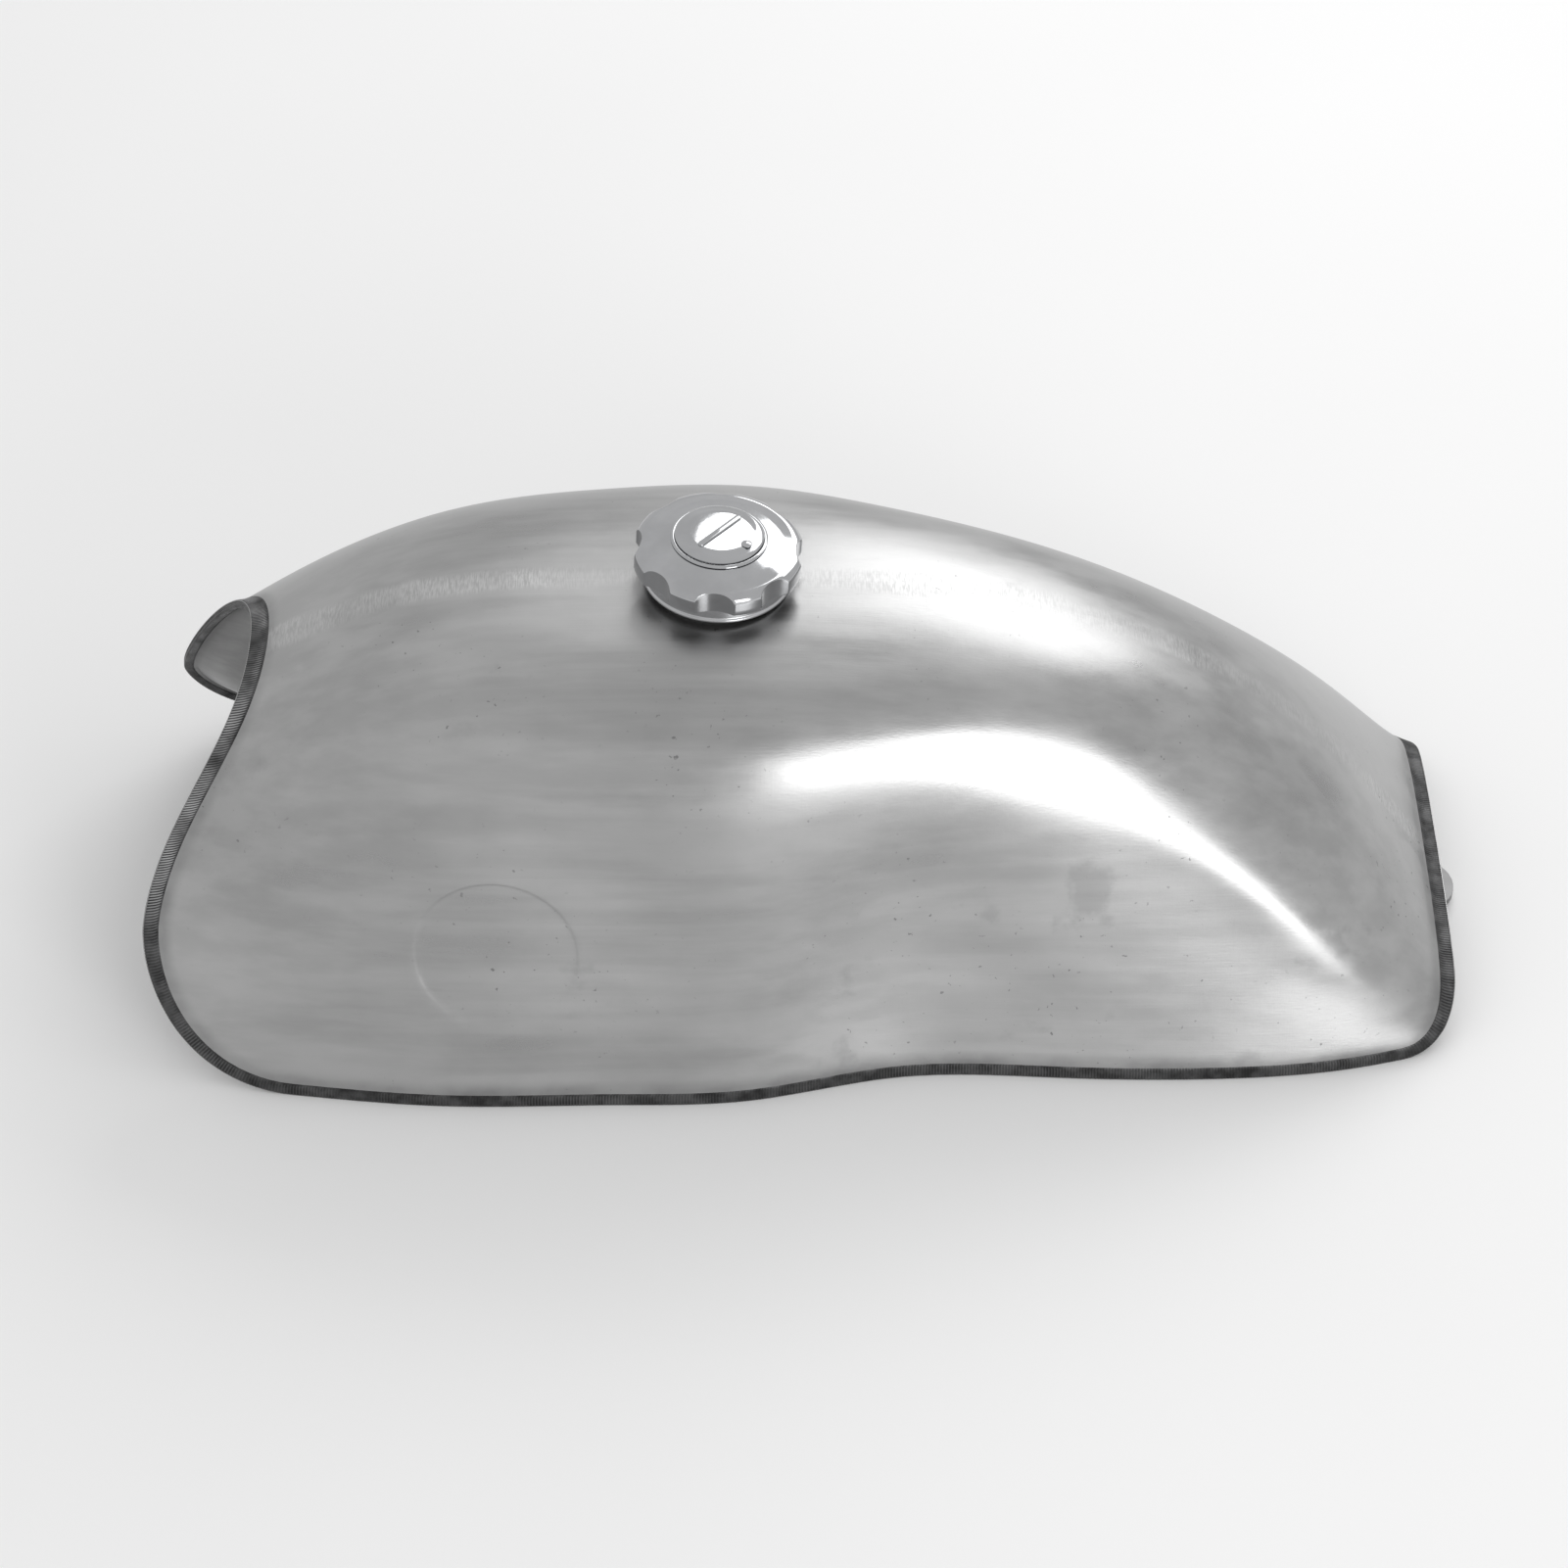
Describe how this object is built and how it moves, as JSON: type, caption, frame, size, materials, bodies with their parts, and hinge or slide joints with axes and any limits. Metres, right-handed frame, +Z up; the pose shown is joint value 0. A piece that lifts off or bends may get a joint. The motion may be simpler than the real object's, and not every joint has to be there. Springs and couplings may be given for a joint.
{
  "type": "motorcycle fuel tank",
  "caption": "Long teardrop motorcycle fuel tank in bare steel with a welded rim flange, backbone tunnel, rubber-mount cups, rear tongue and a locking lift-off filler cap.",
  "frame": {"origin": "centre of the bounding box in plan, at the height of the bench the side flanges stand on", "axes": "+Z up; -X toward the steering head, +X toward the seat; Y = 0 is the plane of symmetry, +Y the tank's right side as a rider sees it"},
  "size_m": [0.5199, 0.2366, 0.193],
  "materials": {
    "bare_steel": "ground and brushed bare sheet steel",
    "seam_steel": "plain pressed steel, heat-darkened at the welds",
    "chrome": "polished chrome plating",
    "zinc_plate": "zinc-plated steel",
    "cast_zinc": "dull die-cast zinc alloy",
    "brass": "machined brass",
    "black_rubber": "matt fuel-proof rubber",
    "spring_steel": "bright spring steel"
  },
  "bodies": {
    "tank": {"right_shell": "bare_steel", "left_shell": "bare_steel", "bottom_pan": "seam_steel", "filler_neck": "bare_steel", "right_mount_cup": "seam_steel", "left_mount_cup": "seam_steel", "rear_mount_tongue": "bare_steel", "petcock_bung": "bare_steel"},
    "gasket_plate": {"gasket_carrier": "zinc_plate", "cap_gasket": "black_rubber"},
    "cap": {"cap_grip": "chrome", "cap_skirt": "chrome", "cap_bezel": "chrome", "wave_spring": "spring_steel", "lock_housing": "cast_zinc", "latch_plate": "zinc_plate", "cap_screw_1": "zinc_plate", "cap_screw_2": "zinc_plate", "cap_screw_3": "zinc_plate", "cover_rivet": "chrome", "cover_spring": "spring_steel"},
    "cover": {"key_cover": "chrome"},
    "barrel": {"lock_barrel": "brass", "lock_crank": "zinc_plate"},
    "bolt": {"lock_bolt": "zinc_plate"}
  },
  "joints": [
    {"name": "cap_lift", "type": "slide", "parent": "tank", "child": "gasket_plate", "axis": [0.0523, 0, 0.9986], "range_m": [0, 0.045]},
    {"name": "cap_turn", "type": "hinge", "parent": "gasket_plate", "child": "cap", "pos_m": [-0.038, 0, 0.169], "axis": [0.0523, 0, 0.9986], "range_deg": [-60, 0]},
    {"name": "key_cover_swing", "type": "hinge", "parent": "cap", "child": "cover", "pos_m": [-0.02669, -0.00693, 0.18843], "axis": [0.0523, 0, 0.9986], "range_deg": [0, 135]},
    {"name": "lock_barrel_turn", "type": "hinge", "parent": "cap", "child": "barrel", "pos_m": [-0.038, 0, 0.169], "axis": [0.0523, 0, 0.9986], "range_deg": [-90, 0]},
    {"name": "lock_bolt_slide", "type": "slide", "parent": "cap", "child": "bolt", "axis": [0.9986, 0, -0.0523], "range_m": [0, 0.004]}
  ],
  "couplings": [
    {"joint": "lock_barrel_turn", "follows": "lock_bolt_slide", "rad_per_m": -392.69}
  ]
}
